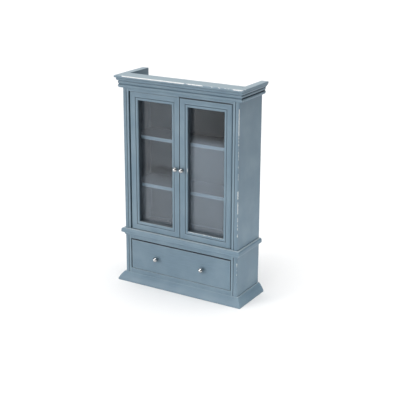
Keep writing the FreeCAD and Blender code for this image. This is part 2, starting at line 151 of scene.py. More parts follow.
def arc(start, middle, end, steps):
    """Points on the circle through three points, after start and up to end."""
    (ax, ay), (bx, by), (cx, cy) = start, middle, end
    twice = 2 * (ax * (by - cy) + bx * (cy - ay) + cx * (ay - by))
    a, b, c = ax * ax + ay * ay, bx * bx + by * by, cx * cx + cy * cy
    ox = (a * (by - cy) + b * (cy - ay) + c * (ay - by)) / twice
    oy = (a * (cx - bx) + b * (ax - cx) + c * (bx - ax)) / twice
    radius = math.hypot(ax - ox, ay - oy)
    first, halfway, last = (math.atan2(y - oy, x - ox) for x, y in (start, middle, end))
    turn = math.tau
    sweep = (last - first) % turn
    if (halfway - first) % turn > sweep:
        sweep -= turn
    return [(ox + radius * math.cos(first + sweep * k / steps),
             oy + radius * math.sin(first + sweep * k / steps)) for k in range(1, steps + 1)]


def anticlockwise(corners):
    area = sum(a[0] * b[1] - b[0] * a[1] for a, b in zip(corners, corners[1:] + corners[:1]))
    return list(corners) if area > 0 else list(reversed(corners))


def softened(corners, radii=None, root=None):
    """A section's points (u, v, edge), from its corners.

    edge is 1 on an edge, -1 where shade is painted, at the root of a groove and at a sharp inward
    corner, and 0 elsewhere.  Outward corners are rounded, by their own radius where radii names
    one, with a point on each side at the band that wear reaches.  Long sides are divided.  root is
    a corner that two pieces' groove runs down to."""
    radii = radii or {}
    order = anticlockwise([(round(u, 9), round(v, 9)) for u, v in corners])
    named = {(round(u, 9), round(v, 9)): size for (u, v), size in radii.items()}
    root = root and (round(root[0], 9), round(root[1], 9))
    points = []
    for index, corner in enumerate(order):
        here = Vector(corner)
        before = Vector(order[index - 1]) - here
        after = Vector(order[(index + 1) % len(order)]) - here
        turn = math.pi - before.angle(after)
        outward = before.x * after.y - before.y * after.x < 0
        if turn < SHARP_TURN or not outward or corner == root:
            points.append((here.x, here.y, 0.0 if turn < SHARP_TURN else -1.0))
            continue
        reach = math.tan(turn / 2)
        shortest = min(before.length, after.length)
        radius = min(named.get(corner, SOFT), 0.42 * shortest / reach)
        into, out = before.normalized(), after.normalized()
        start = here + into * radius * reach
        centre = here + (into + out).normalized() * radius / math.cos(turn / 2)
        band = radius * reach + BAND
        if before.length > 2.2 * band:
            points.append((*(here + into * band), 0.0))
        first = math.atan2(start.y - centre.y, start.x - centre.x)
        for step in range(ROUND_STEPS + 1):
            angle = first + turn * step / ROUND_STEPS
            points.append((centre.x + radius * math.cos(angle),
                           centre.y + radius * math.sin(angle),
                           edge_weight(radius, step / ROUND_STEPS)))
        if after.length > 2.2 * band:
            points.append((*(here + out * band), 0.0))
    return divided(points)


def edge_weight(radius, share):
    """How much of an edge a rounded corner is, at a share of the way round it."""
    return 1.0 if radius < BIG_ROUND else BIG_ROUND_EDGE * (1 - abs(2 * share - 1))


def divided(points):
    """The same closed outline, with sides longer than the grid divided."""
    made = []
    for a, b in zip(points, points[1:] + points[:1]):
        parts = max(1, math.ceil(math.hypot(b[0] - a[0], b[1] - a[1]) / GRID))
        for k in range(parts):
            share = k / parts
            made.append(tuple(p + (q - p) * share for p, q in zip(a, b)))
    return made


def drawn_in(points, distance):
    """A closed outline moved inwards by a distance."""
    made = []
    for index, (u, v, edge) in enumerate(points):
        before = Vector((u, v)) - Vector(points[index - 1][:2])
        after = Vector(points[(index + 1) % len(points)][:2]) - Vector((u, v))
        normal = (Vector((-before.y, before.x)).normalized()
                  + Vector((-after.y, after.x)).normalized())
        length = max(normal.length_squared / 2, 0.3)
        made.append((u + normal.x * distance / length, v + normal.y * distance / length, edge))
    return made


# ---------------------------------------------------------------- members: a section run along

def stations(length, ease_start, ease_end):
    """Where a member's rings lie: (distance from its start, drawn in by, how much of an edge)."""
    made = []
    for at_end, ease in ((False, ease_start), (True, ease_end)):
        if ease:
            reach = min(SOFT, length / 8)
            rows = [(reach * (1 - math.sin(a)), reach * (1 - math.cos(a)), 1.0)
                    for a in (math.pi / 2 * k / 3 for k in range(3, -1, -1))]
            rows.append((reach + BAND, 0.0, 0.0))
        else:
            rows = [(0.0, 0.0, 0.0)]
        made.append([(length - d, inset, e) for d, inset, e in reversed(rows)] if at_end else rows)
    first, last = made[0][-1][0], made[1][0][0]
    parts = max(1, math.ceil((last - first) / STRIDE))
    between = [(first + (last - first) * k / parts, 0.0, 0.0) for k in range(1, parts)]
    return made[0] + between + made[1]


def ring_faces(bm, rings, edge_layer, weights):
    """Vertices and side faces for rings of points."""
    rows = []
    for ring, row_weights in zip(rings, weights):
        row = [bm.verts.new(p) for p in ring]
        for vert, weight in zip(row, row_weights):
            vert[edge_layer] = weight
        rows.append(row)
    for low, high in zip(rows, rows[1:]):
        for k in range(len(low)):
            n = (k + 1) % len(low)
            bm.faces.new((low[k], low[n], high[n], high[k]))
    return rows


def cap(bm, row, bore, depth_axis, edge_layer):
    """Close a row, with a blind round bore (centre, radius, depth) where one is given."""
    if bore is None:
        bm.faces.new(row)
        return
    centre, radius, depth = bore
    others = [axis for axis in (X, Y, Z) if axis != depth_axis]
    loops = []
    for push in (0.0, depth):
        loop = []
        for k in range(BORE_STEPS):
            p = Vector(centre)
            p[others[0]] += radius * math.cos(math.tau * k / BORE_STEPS)
            p[others[1]] += radius * math.sin(math.tau * k / BORE_STEPS)
            p[depth_axis] += push
            vert = bm.verts.new(p)
            vert[edge_layer] = 0.0
            loop.append(vert)
        loops.append(loop)
    mouth, bottom = loops
    for k in range(BORE_STEPS):
        n = (k + 1) % BORE_STEPS
        bm.faces.new((mouth[k], mouth[n], bottom[n], bottom[k]))
    bm.faces.new(bottom)
    rim = [bm.edges.get((row[k], row[(k + 1) % len(row)])) for k in range(len(row))]
    hole = [bm.edges.get((mouth[k], mouth[(k + 1) % BORE_STEPS])) for k in range(BORE_STEPS)]
    bmesh.ops.triangle_fill(bm, edges=rim + hole, use_beauty=True, use_dissolve=False)


def member(node, section, span, eased=(True, True), bores=(None, None), fold=None, plain=None):
    """A piece that stands for a CAD node: a section run between two ends.

    span(u, v) gives the start and end points of the line that a section point runs along, so a
    mitre is an end that depends on the point.  fold is the u where the end faces turn a corner.
    plain is (section, from, to): between those distances the main section holds, and beyond them
    the plain one."""
    bm = bmesh.new()
    edge_layer = bm.verts.layers.float.new("edge")
    start, end = (Vector(p) for p in span(*section[0][:2]))
    direction = (end - start).normalized()
    depth_axis = max((X, Y, Z), key=lambda axis: abs(direction[axis]))
    length = max((Vector(b) - Vector(a)).length for a, b in (span(u, v) for u, v, _ in section))
    places = stations(length, *eased)
    if plain:
        _, first, last = plain
        clear = [row for row in places if min(abs(row[0] - d) for d in (first, last)) > 2 * GROOVE]
        runs_out = [(d, 0.0, 0.0) for d in (first - GROOVE, first, last, last + GROOVE)]
        places = sorted(clear + runs_out)
    rings, weights = [], []
    for distance, inset, end_edge in places:
        share = distance / length
        here = plain[0] if plain and not plain[1] <= distance <= plain[2] else section
        outline = drawn_in(here, inset) if inset else here
        ring = []
        for u, v, _ in outline:
            a, b = (Vector(p) for p in span(u, v))
            ring.append(a.lerp(b, share))
        rings.append(ring)
        weights.append([max(edge, end_edge) if end_edge else edge for _, _, edge in here])
    rows = ring_faces(bm, rings, edge_layer, weights)
    for row, bore in ((rows[0], bores[0]), (rows[-1], bores[1])):
        cap(bm, row, bore, depth_axis, edge_layer)
        if fold is not None:
            at_fold = [vert for vert, (u, _, _) in zip(row, section) if abs(u - fold) < 1e-7]
            bmesh.ops.connect_verts(bm, verts=at_fold)
    return finished(node, bm, edge_layer)


def strayed(p):
    """Where a point of the true shape lies on the hand-made one."""
    return p + noise.noise_vector(p / WOBBLE_WAVE) * WOBBLE


def finished(node, bm, edge_layer=None, smooth_only=False):
    """Turn a mesh into the piece that stands for a CAD node, riding on that node's body."""
    wear_at = wear_on(node)
    bmesh.ops.recalc_face_normals(bm, faces=bm.faces)
    bm.normal_update()
    wear_layer = bm.verts.layers.float.new("worn")
    inside_layer = bm.verts.layers.float.new("inside")
    for vert in bm.verts:
        vert[inside_layer] = inside(vert.co)
        if edge_layer is not None:
            exposed = min(max(vert[edge_layer] / BIG_ROUND_EDGE, 0.0), 1.0)
            vert[wear_layer] = exposed * wear_at(vert.co)
        if not smooth_only:
            bite = NICK * vert[wear_layer] * (0.5 + noise.noise(vert.co / NICK_WAVE))
            vert.co = strayed(vert.co) - vert.normal * max(bite, 0.0)
        vert.co = [min(max(c, low), high) for c, low, high in zip(vert.co, CAD_LOW, CAD_HIGH)]
    for face in bm.faces:
        face.smooth = True
    for edge in bm.edges:
        edge.smooth = edge.calc_face_angle(0.0) < CREASE
    mesh = bpy.data.meshes.new(node + "_finished")
    bm.to_mesh(mesh)
    bm.free()
    piece = bpy.data.objects.new(node + "_finished", mesh)
    bpy.context.scene.collection.objects.link(piece)
    even = piece.modifiers.new("even_shading", "WEIGHTED_NORMAL")
    even.keep_sharp = True
    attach(piece, frame["nodes"][node]["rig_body"])
    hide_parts(node)
    return piece


def inside(p):
    """1 for a point inside the cupboard or on its inner faces, where little light reaches."""
    return float(all(low < c < high for c, low, high in zip(p, CUPBOARD_LOW, CUPBOARD_HIGH)))


# ---------------------------------------------------------------- wear

# Worn stretches: the piece, the edge of its box that is worn (0 for a low side, 1 for a high one
# and None for the axis it runs along), then (from, to, how bare) in mm along that axis.
WORN = {
    "cornice_front": ((None, 0, 1), (
        (-50, -43, 0.55), (-43, 6, 1.00), (6, 9, 0.62), (9, 19, 0.88), (19, 43, 0.64),
        (43, 50, 1.00))),
    "cornice_left": ((0, None, 1), ((-18, -6, 0.62),)),
    "cornice_right": ((1, None, 1), ((-17, -13, 0.62), (-3, 6, 0.55))),
    "side_panel_right": ((1, 0, None), (
        (16, 29, 0.70), (30, 31.5, 0.95), (49.5, 51.5, 1.0), (54, 64, 0.84), (65, 73.5, 1.0),
        (76, 81.5, 1.15), (88, 118, 0.78), (118, 137, 1.15))),
    "door_right_stop_bottom": ((None, 0, 1), ((3, 37, 0.84),)),
    "door_right_stop_left": ((1, 0, None), ((88.7, 90.5, 1.10),)),
    "door_left_stop_bottom": ((None, 0, 1), ((-37, -34.5, 1.10),)),
    "waist_moulding_right": ((1, 0, None), ((36.2, 38.2, 1.15),)),
    "plinth_right": ((1, 0, None), ((0.5, 5.5, 0.62),)),
    "plinth_front": ((None, 0, 0), ((48, 50, 0.62), (10, 40, 0.50))),
}
WORN_REACH = 1.2 * MM       # how far from the box's edge the worn one may pass
FLECKS = 0.46               # how bare the flecks elsewhere are, at most
FLECK_WAVE = 5 * MM
RAGGED = 0.6                # how far a stretch's end strays, in mm
RAGGED_WAVE = 2 * MM


def wear_on(node):
    """For one piece, a function that gives how far its paint is rubbed off an edge at a point.

    0 is whole and 1 is bare primer."""
    sides, stretches = WORN.get(node, ((None, 0, 0), ()))
    axis = sides.index(None)
    beside = [(k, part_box(node)[side][k]) for k, side in enumerate(sides) if side is not None]

    def wear_at(p):
        flecks = FLECKS * (0.5 + 0.5 * noise.noise(p / FLECK_WAVE))
        if math.hypot(*(p[k] - place for k, place in beside)) > WORN_REACH:
            return flecks
        here = p[axis] / MM + RAGGED * noise.noise(p / RAGGED_WAVE)
        return max([bare for start, end, bare in stretches if start <= here <= end] + [flecks])

    return wear_at


# ---------------------------------------------------------------- boards

def run_along(node, axis):
    """A box's section corners across one axis, and the span along it."""
    low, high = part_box(node)
    across = [other for other in (X, Y, Z) if other != axis]

    def span(u, v):
        ends = []
        for along in (low[axis], high[axis]):
            point = [0.0, 0.0, 0.0]
            point[across[0]], point[across[1]], point[axis] = u, v, along
            ends.append(point)
        return ends

    a, b = across
    corners = [(low[a], low[b]), (high[a], low[b]), (high[a], high[b]), (low[a], high[b])]
    return corners, span


def board(node, material, axis, eased=(True, True)):
    """A plain board that fills its box, with its grain along an axis."""
    corners, span = run_along(node, axis)
    piece = member(node, softened(corners), span, eased)
    painted(piece, material[axis])
    return piece


def bevelled(corners, corner, size):
    """Section corners with one of them cut off at 45 degrees."""
    made = []
    for index, here in enumerate(corners):
        if here != corner:
            made.append(here)
            continue
        for other in (corners[index - 1], corners[(index + 1) % len(corners)]):
            step = (Vector(other) - Vector(here)).normalized() * size
            made.append(tuple(Vector(here) + step))
    return made


def groove_root(corner, into):
    """The bottom of the groove at a bevelled corner; into is the coordinate that runs inwards."""
    root = list(corner)
    root[into] += GROOVE
    return tuple(root)


def squared(section, corner, size):
    """The same section points with a cut corner pushed back out to a square one."""
    made = []
    for u, v, edge in section:
        a, b = abs(u - corner[0]), abs(v - corner[1])
        if max(a, b) <= size * 1.6:
            push = min(a, b)
            u += math.copysign(push, corner[0] - u)
            v += math.copysign(push, corner[1] - v)
            if edge < 0.0:      # the groove's root
                u, v = corner
            edge = 0.0
        made.append((u, v, edge))
    return made


# ---------------------------------------------------------------- the case

def dark_edge(rail, start, end):
    """Lay painted shadow along the lower edge of a rail, between two places along X."""
    bottom = min(vert.co.z for vert in rail.data.vertices)
    for vert, edge in zip(rail.data.vertices, rail.data.attributes["edge"].data):
        if start < vert.co.x < end and vert.co.z < bottom + 2 * SOFT:
            edge.value = -1.0


def case(wood, shelf):
    """The boards of the case, with painted shadow in the gap over the right door."""
    for side, sign in SIDES:
        low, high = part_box(f"side_panel_{side}")
        corners, span = run_along(f"side_panel_{side}", Z)
        outer = (low.x if sign < 0 else high.x, low.y)
        inner = (high.x if sign < 0 else low.x, low.y)
        section = softened(bevelled(corners, inner, GROOVE), {outer: CORNER},
                           groove_root(inner, 1))
        painted(member(f"side_panel_{side}", section, span), wood[Z])

        corners, span = run_along(f"face_stile_{side}", Z)
        section = softened(bevelled(corners, inner, GROOVE), root=groove_root(inner, 1))
        painted(member(f"face_stile_{side}", section, span, (False, False)), wood[Z])
    for name in ("top", "waist", "bottom"):
        rail = board(f"face_rail_{name}", wood, X, (False, False))
        if name == "top":
            # Painted shadow in the gap over the right door.
            dark_edge(rail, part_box("door_right_meeting_stile")[0].x,
                      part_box("door_right_hinge_stile")[1].x)
    for name in ("top_board", "cupboard_floor", "drawer_bay_floor"):
        board(name, wood, X)
    for name in ("shelf_lower", "shelf_upper"):
        board(name, shelf, X)
    board("back_panel", wood, Z)


def hinge_pins(steel):
    for side, _ in SIDES:
        for end in ENDS_OF_DOOR:
            node = f"hinge_pin_{side}_{end}"
            low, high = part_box(node)
            radius = (high.x - low.x) / 2
            chamfer = radius / 3
            turned(node, steel, (low + high) / 2, Z, [
                (0.0, low.z), (radius - chamfer, low.z), (radius, low.z + chamfer),
                (radius, high.z - chamfer), (radius - chamfer, high.z), (0.0, high.z)])


# ---------------------------------------------------------------- turned pieces

def turned(node, material, centre, axis, profile, steps=40):
    """A piece turned about an axis through a point, from (radius, place along the axis)."""
    bm = bmesh.new()
    others = [other for other in (X, Y, Z) if other != axis]
    rows = []
    for radius, along in profile:
        row = []
        for k in range(steps if radius > 0 else 1):
            p = Vector(centre)
            p[axis] = along
            p[others[0]] += radius * math.cos(math.tau * k / steps)
            p[others[1]] += radius * math.sin(math.tau * k / steps)
            row.append(bm.verts.new(p))
        rows.append(row)
    for low, high in zip(rows, rows[1:]):
        for k in range(steps):
            n = (k + 1) % steps
            loop = [low[k % len(low)], low[n % len(low)], high[n % len(high)], high[k % len(high)]]
            bm.faces.new(list(dict.fromkeys(loop)))
    piece = finished(node, bm, smooth_only=True)
    painted(piece, material)
    return piece


def knob(node, metal):
    """A ball on a short waisted neck, with its shank in the wood behind."""
    low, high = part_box(node)
    ball = (high.x - low.x) / 2
    centre = low.y + ball
    neck, flare, shank = KNOB_NECK_RADIUS, KNOB_FLARE, KNOB_SHANK
    face = centre + math.sqrt(ball * ball - neck * neck) + KNOB_NECK    # of the wood
    profile = [(0.0, low.y)]
    last = math.pi - math.asin(neck / ball)
    for k in range(1, KNOB_STEPS + 1):
        angle = last * k / KNOB_STEPS
        profile.append((ball * math.sin(angle), centre - ball * math.cos(angle)))
    profile += [(neck, face - KNOB_FLARE_LENGTH), (flare, face - KNOB_FLARE_RIM), (flare, face),
                (shank, face), (shank, high.y - KNOB_SHANK_CHAMFER), (shank * 0.7, high.y),
                (0.0, high.y)]
    middle = (low + high) / 2
    turned(node, metal, middle, Y, profile, 48)


# ---------------------------------------------------------------- mouldings

def moulding(name, corners_for, wood):
    """Mitred rails across the front and down both sides.

    corners_for(reach, top, bottom) lists a section's corners as (inset, height)."""
    low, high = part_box(f"{name}_front")
    side_low, side_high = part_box(f"{name}_right")
    outer, front, top, bottom = high.x, low.y, high.z, low.z
    side_reach = outer - side_low.x
    front_reach = high.y - front

    def across(inset, height):
        x = outer - min(inset, side_reach)
        return (-x, front + inset, height), (x, front + inset, height)

    corners = corners_for(front_reach, top, bottom)
    fold = None
    if front_reach > side_reach:
        fold = side_reach
        corners = corners_for(front_reach, top, bottom, fold)
    is_cornice = name == "cornice"
    radii = {(0.0, top): CORNICE_EDGE} if is_cornice else {}
    section = softened(corners, radii)
    if is_cornice:
        section = aged(section, top, *FRONT_REED_SHADE_AND_HIGHLIGHT)
    painted(member(f"{name}_front", section, across, (False, False), fold=fold), wood[X])

    for side, sign in SIDES:
        def back(inset, height, sign=sign):
            x = sign * (outer - inset)
            return (x, front + min(inset, front_reach), height), (x, side_high.y, height)

        section = softened(corners_for(side_reach, top, bottom), radii)
        if is_cornice:
            section = aged(section, top, *SIDE_REED_SHADE_AND_HIGHLIGHT)
        painted(member(f"{name}_{side}", section, back, (False, True)), wood[Y])


def aged(section, top, root_shade, crest):
    """The cornice's section, with painted shade between its reeds and the lowest reed's front worn
    and lit by a painted highlight.
    """
    slab = top - CORNICE_SLAB
    roots = [(root, slab - CORNICE_REED * k) for k, (root, _) in enumerate(CORNICE_REEDS)]
    lowest = slab - CORNICE_REED * 2.5
    made = []
    for u, v, edge in section:
        near_root = any(math.hypot(u - a, v - b) < ROOT_BAND for a, b in roots)
        if near_root and edge <= 0.0:
            edge = -root_shade
        elif abs(v - lowest) < CREST_BAND and edge == 0.0:
            edge = crest
        made.append((u, v, edge))
    return made


def closing(reach, top, bottom, fold):
    """The hidden back of a section, with a point on each face where its ends turn a corner."""
    if fold is None:
        return [(reach, bottom), (reach, top)]
    return [(fold, bottom), (reach, bottom), (reach, top), (fold, top)]


def cornice(reach, top, bottom, fold=None):
    """A square slab over three reeds that step inwards, the last one running down to the case."""
    corners = [(0.0, top), (0.0, top - CORNICE_SLAB), (CORNICE_REEDS[0][0], top - CORNICE_SLAB)]
    high = top - CORNICE_SLAB
    ends = [root for root, _ in CORNICE_REEDS[1:]] + [CORNICE_FOOT]
    for (root, reed), end in zip(CORNICE_REEDS, ends):
        low = bottom if end == CORNICE_FOOT else high - CORNICE_REED
        corners += arc((root, high), (reed, (high + low) / 2), (end, low), 10)
        high = low
    return corners + closing(reach, top, bottom, fold)


def waist(reach, top, bottom, fold=None):
    """A rounded shoulder, a narrow flat face, and a cove that runs back to the case."""
    share = 1 - math.sqrt(0.5)
    face_top = top - WAIST_SHOULDER
    face_bottom = face_top - WAIST_FACE
    corners = [(WAIST_SHOULDER, top)]
    corners += arc((WAIST_SHOULDER, top), (WAIST_SHOULDER * share, top - WAIST_SHOULDER * share),
                   (0.0, face_top), 6)
    corners.append((0.0, face_bottom))
    cove_end = min(WAIST_COVE, reach)
    corners += arc((0.0, face_bottom),
                   (WAIST_COVE * (1 - share), face_bottom - WAIST_COVE * share),
                   (WAIST_COVE, face_bottom - WAIST_COVE), 8)[:-1]
    corners.append((cove_end, bottom))
    return corners + closing(reach, top, bottom, fold)


def plinth(reach, top, bottom, fold=None):
    """A slope that swells slightly from the case to an upright toe."""
    toe = bottom + PLINTH_TOE
    corners = [(PLINTH_CURVE, top)]
    corners += arc((PLINTH_CURVE, top), (PLINTH_CURVE * 3 / 7, toe + (top - toe) * 8 / 15),
                   (0.0, toe), 8)
    corners.append((0.0, bottom))
    return corners + closing(reach, top, bottom, fold)


# ---------------------------------------------------------------- doors

def glazing_stops(side, wood):
    """Four mitred strips round the pane, bevelled on the frame side and rounded on the other."""
    names = {edge: f"door_{side}_stop_{edge}" for edge in ("left", "right", "top", "bottom")}
    left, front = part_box(names["left"])[0].x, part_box(names["left"])[0].y
    right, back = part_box(names["right"])[1].x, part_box(names["right"])[1].y
    low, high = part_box(names["bottom"])[0].z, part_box(names["top"])[1].z
    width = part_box(names["bottom"])[1].z - low
    corners = bevelled([(0.0, front), (width, front), (width, back), (0.0, back)],
                       (0.0, front), GROOVE)
    section = softened(corners, {(width, front): STOP_ROUND}, groove_root((0.0, front), 1))
    # Painted shade on each stop's inner face, beside the pane.
    section = [(w, y, -1.0 if y > front + STOP_ROUND and w > width - SOFT else edge)
               for w, y, edge in section]
    spans = {
        "left": lambda w, y: ((left + w, y, low + w), (left + w, y, high - w)),
        "right": lambda w, y: ((right - w, y, low + w), (right - w, y, high - w)),
        "bottom": lambda w, y: ((left + w, y, low + w), (right - w, y, low + w)),
        "top": lambda w, y: ((left + w, y, high - w), (right - w, y, high - w)),
    }
    for edge, span in spans.items():
        axis = Z if edge in ("left", "right") else X
        painted(member(names[edge], section, span, (False, False)), wood[axis])


# Bands of a hazed veil in the panes, painted to stand in for their reflections, from the top down:
# (height in mm, how strong).
REFLECTION_HAZE_BANDS = {
    "left": ((140, 0.055), (89, 0.055), (87, 0.015), (85, 0.035), (74, 0.110), (42, 0.110)),
    "right": ((140, 0.0), (113, 0.0), (107, 0.185), (73, 0.155), (42, 0.150)),
}


def door(side, sign, wood, glass, metal):
    """Two stiles, two rails, the stops, the pane and the knob; sign is -1 for the left door."""
    stop_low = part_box(f"door_{side}_stop_bottom")[0].z
    stop_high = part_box(f"door_{side}_stop_top")[1].z
    for kind in ("hinge_stile", "meeting_stile"):
        node = f"door_{side}_{kind}"
        low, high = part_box(node)
        at_left = (kind == "hinge_stile") == (sign < 0)
        groove_x, free_x = (high.x, low.x) if at_left else (low.x, high.x)
        radii, bores = {}, (None, None)
        if kind == "hinge_stile":
            radii = {(free_x, low.y): FRONT_EASE, (free_x, high.y): BACK_EASE}
            bores = tuple(pin_bore(side, end, plane) for end, plane in
                          (("bottom", low.z), ("top", high.z)))
        corners, span = run_along(node, Z)
        corner = (groove_x, low.y)
        section = softened(bevelled(corners, corner, GROOVE), radii, groove_root(corner, 1))
        plain = (squared(section, corner, GROOVE), stop_low - low.z, stop_high - low.z)
        painted(member(node, section, span, bores=bores, plain=plain), wood[Z])
    for end in ENDS_OF_DOOR:
        node = f"door_{side}_rail_{end}"
        low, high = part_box(node)
        corners, span = run_along(node, X)
        corner = (low.y, low.z if end == "top" else high.z)
        section = softened(bevelled(corners, corner, GROOVE), root=groove_root(corner, 0))
        if end == "top":
            # Painted shade along the top face of the top rail, in the gap over the door.
            section = [(y, z, -1.0 if z > high.z - SOFT / 2 and y > low.y + SOFT else edge)
                       for y, z, edge in section]
        painted(member(node, section, span, (False, False)), wood[X])
    glazing_stops(side, wood)
    corners, span = run_along(f"door_{side}_pane", Z)
    pane = member(f"door_{side}_pane", softened(corners), span)
    painted(pane, glass)
    # Painted reflection: the pane's hazed veil, set in bands by height.
    amounts = pane.data.attributes.new("reflection_haze", "FLOAT", "POINT")
    for vert, amount in zip(pane.data.vertices, amounts.data):
        amount.value = haze_at(side, vert.co.z)
    knob(f"door_{side}_knob", metal)


def haze_at(side, z):
    """How strong a pane's veil of painted reflection is at a height, between the heights of the
    bands listed above.
    """
    bands = REFLECTION_HAZE_BANDS[side]
    for (high, more), (low, less) in zip(bands, bands[1:]):
        if z >= low * MM:
            share = min(max((z / MM - low) / (high - low), 0.0), 1.0)
            return less + (more - less) * share
    return bands[-1][1]


def pin_bore(side, end, plane):
    """The hole in a hinge stile's end: its centre, radius and depth along Z."""
    low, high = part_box(f"hinge_pin_{side}_{end}")
    reach = (high.z - plane + PIN_END_GAP) if end == "bottom" else (low.z - plane - PIN_END_GAP)
    centre = ((low.x + high.x) / 2, (low.y + high.y) / 2, plane)
    return centre, (high.x - low.x) / 2 + PIN_HOLE_EXTRA, reach


# ---------------------------------------------------------------- drawer

def drawer(wood, metal):
    """The drawer's five boards and two knobs; painted shadow lies along the top of its front."""
    low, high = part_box("drawer_front")
    corners, span = run_along("drawer_front", X)
    section = softened(corners, {(low.y, high.z): DRAWER_EASE})
    # Painted shadow along the top of the front, in the gap above the drawer.
    section = [(y, z, -1.0 if z > high.z - DRAWER_EASE * 0.7 else edge) for y, z, edge in section]
    painted(member("drawer_front", section, span), wood[X])
    for name in ("drawer_side_left", "drawer_side_right"):
        board(name, wood, Y)
    board("drawer_back", wood, X)
    board("drawer_base", wood, X)
    for side, _ in SIDES:
        knob(f"drawer_knob_{side}", metal)


# ---------------------------------------------------------------- materials

def painted(piece, material):
    piece.data.materials.clear()
    piece.data.materials.append(material)


class Nodes:
    """A material's node tree, with short ways to add and link nodes."""

    def __init__(self, name, slot):
        self.material = bpy.data.materials.new(name)
        self.material.use_nodes = True
        self.material["slot"] = slot
        self.tree = self.material.node_tree
        self.tree.nodes.clear()
        self.output = self.add("ShaderNodeOutputMaterial")
        self.place = self.add("ShaderNodeTexCoord").outputs["Object"]

    def add(self, kind, settings=None, **inputs):
        node = self.tree.nodes.new(kind)
        for key, value in (settings or {}).items():
            setattr(node, key, value)
        for key, value in inputs.items():
            self.set(node, key.replace("_", " "), value)
        return node

    def set(self, node, key, value):
        socket = node.inputs[int(key)] if key.isdigit() else node.inputs[key]
        if isinstance(value, bpy.types.NodeSocket):
            self.tree.links.new(value, socket)
        else:
            socket.default_value = value

    def stretched(self, scale):
        mapping = self.add("ShaderNodeMapping", Vector=self.place)
        mapping.inputs["Scale"].default_value = scale
        return mapping.outputs["Vector"]

    def noise(self, vector, scale, detail=3.0, roughness=0.5):
        return self.add("ShaderNodeTexNoise", Vector=vector, Scale=scale, Detail=detail,
                        Roughness=roughness).outputs["Fac"]

    def ramp(self, value, low, high, to_low=0.0, to_high=1.0):
        node = self.add("ShaderNodeMapRange", {"interpolation_type": "SMOOTHSTEP"}, Value=value)
        for key, number in (("From Min", low), ("From Max", high), ("To Min", to_low),
                            ("To Max", to_high)):
            node.inputs[key].default_value = number
        return node.outputs["Result"]

    def maths(self, operation, a, b):
        node = self.add("ShaderNodeMath", {"operation": operation})
        self.set(node, "0", a)
        self.set(node, "1", b)
        return node.outputs["Value"]

    def mix(self, share, a, b):
        node = self.add("ShaderNodeMix", {"data_type": "RGBA"})
        for index, value in ((0, share), (6, a), (7, b)):
            if isinstance(value, tuple):
                value = (*value, 1.0)
            self.set(node, str(index), value)
        return node.outputs[2]

    def mixed(self, share, first, second):
        node = self.add("ShaderNodeMixShader", Fac=share)
        self.tree.links.new(first, node.inputs[1])
        self.tree.links.new(second, node.inputs[2])
        return node.outputs[0]

    def attribute(self, name):
        return self.add("ShaderNodeAttribute", {"attribute_name": name}).outputs["Fac"]

    def bump(self, height, strength, distance):
        return self.add("ShaderNodeBump", Height=height, Strength=strength,
                        Distance=distance).outputs["Normal"]

    def shown(self, shader):
        self.tree.links.new(shader, self.output.inputs["Surface"])
        return self.material


PAINT = (0.142, 0.216, 0.276)
PAINT_DARK = (0.121, 0.189, 0.244)
PAINT_LIGHT = (0.167, 0.242, 0.299)
THIN_PAINT = (0.28, 0.37, 0.43)
# Painted sheen: the pale colour that paint facing upwards turns towards.
SHEEN_PAINT = (0.46, 0.54, 0.58)
PRIMER = (0.70, 0.72, 0.72)
# Painted shade: the dark colour of crevices, gaps, groove roots and inward corners.
PAINTED_SHADE = (0.016, 0.022, 0.030)
UNLIT = (0.006, 0.014, 0.024)       # the inside of the cupboard
# Colour of the panes' veil of painted reflection.
REFLECTION_HAZE_COLOUR = (0.56, 0.66, 0.76, 1.0)

# Noise scales, per metre.
STROKES = 1400.0
PORES = 5200.0
CLOUDS = 55.0
SPECKLE = 2600.0
FLAKES = 900.0
SMEARS = 120.0
TARNISH = 900.0
SCRATCHES = 9000.0
FLOOR_GRAIN = 300.0

# How much of a layer shows where it is strongest: painted sheen, thinning, painted shade at groove
# roots, painted shade inside.
MOST_SHEEN = 0.75
MOST_THINNING = 0.28
MOST_ROOT_SHADE = 0.85
MOST_SHADE = 0.90

ALONG_GRAIN = 0.07                  # how far strokes are squeezed along the grain
PAINT_RELIEF = 0.08 * MM
METAL_RELIEF = 0.03 * MM
PANE_GLOSS = 0.55


